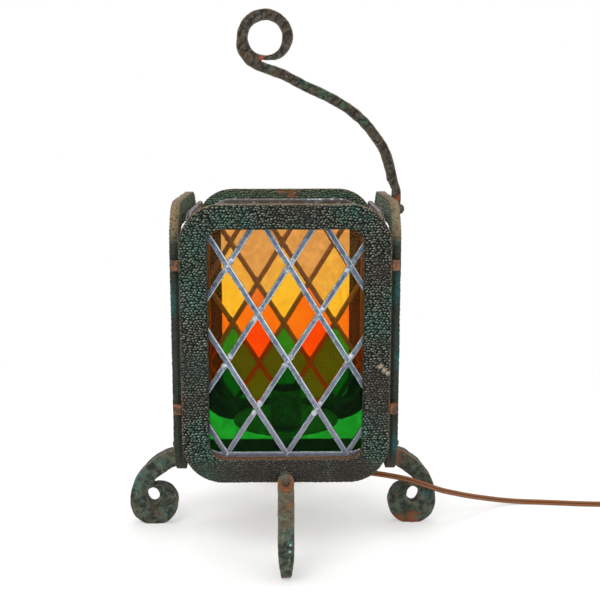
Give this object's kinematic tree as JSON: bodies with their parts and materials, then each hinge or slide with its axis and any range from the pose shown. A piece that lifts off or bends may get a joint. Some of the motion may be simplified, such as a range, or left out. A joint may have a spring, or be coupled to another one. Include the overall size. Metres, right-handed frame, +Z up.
{
  "type": "lantern lamp",
  "caption": "Square iron lantern lamp with leaded diamond glass, scroll feet, a ringed carrying arm, an open lamp socket and a flat cord.",
  "frame": {"origin": "on the floor under the middle of the lantern's four frames", "axes": "+Z up, -Y out of the front frame, +X towards the handle's pivot bolt"},
  "size_m": [0.6412, 0.314, 0.5491],
  "materials": {
    "frame_iron": "hammered, dark green-brown patina",
    "foot_iron": "forged, dark teal patina",
    "handle_iron": "forged, brown-grey with green patina",
    "rusty_iron": "rough orange rust",
    "bare_steel": "dull",
    "lead_came": "dull blue-grey lead",
    "tan_glass": "rolled, streaky",
    "yellow_glass": "rolled, streaky",
    "red_glass": "rolled, streaky",
    "green_glass": "rolled, streaky",
    "aged_brass": "brown, aged",
    "bright_brass": "satin",
    "card_liner": "pressed card",
    "black_resin": "moulded",
    "brown_rubber": "moulded",
    "brown_cord": "smooth two-core sheath"
  },
  "bodies": {
    "lamp": {"front_frame": "frame_iron", "front_came": "lead_came", "front_foot": "foot_iron", "front_tan_glass": "tan_glass", "front_yellow_glass": "yellow_glass", "front_red_glass": "red_glass", "front_green_glass": "green_glass", "right_frame": "frame_iron", "right_came": "lead_came", "right_foot": "foot_iron", "right_tan_glass": "tan_glass", "right_yellow_glass": "yellow_glass", "right_red_glass": "red_glass", "right_green_glass": "green_glass", "back_frame": "frame_iron", "back_came": "lead_came", "back_foot": "foot_iron", "back_tan_glass": "tan_glass", "back_yellow_glass": "yellow_glass", "back_red_glass": "red_glass", "back_green_glass": "green_glass", "left_frame": "frame_iron", "left_came": "lead_came", "left_foot": "foot_iron", "left_tan_glass": "tan_glass", "left_yellow_glass": "yellow_glass", "left_red_glass": "red_glass", "left_green_glass": "green_glass", "corner_lugs": "rusty_iron", "solder_seams": "lead_came", "panel_clips": "bare_steel", "foot_rivets": "rusty_iron", "pivot_bolt": "rusty_iron", "pivot_washer": "bare_steel", "pivot_nut": "bare_steel", "base_strap": "rusty_iron", "strap_rivets": "rusty_iron", "spacer_tube": "aged_brass", "threaded_nipple": "bare_steel", "lock_nut": "aged_brass", "pan": "aged_brass", "socket_cap": "aged_brass", "socket_shell": "aged_brass", "socket_liner": "card_liner", "socket_core": "black_resin", "screw_shell": "bright_brass", "centre_contact": "bright_brass", "terminal_screws": "bright_brass", "elbow_boot": "brown_rubber", "inner_lead": "brown_cord", "cord_lead": "brown_cord", "cord_coil": "brown_cord", "plug_body": "brown_rubber", "plug_blades": "bright_brass"},
    "handle": {"handle": "handle_iron"},
    "switch": {"switch_shaft": "bright_brass", "switch_knob": "black_resin"}
  },
  "joints": [
    {"name": "handle_pivot", "type": "hinge", "parent": "lamp", "child": "handle", "pos_m": [0.116, 0, 0.3462], "axis": [1, 0, 0], "range_deg": [-30, 30]},
    {"name": "switch_turn", "type": "hinge", "parent": "lamp", "child": "switch", "pos_m": [0, 0.0215, 0.1294], "axis": [0, 1, 0], "continuous": true}
  ]
}
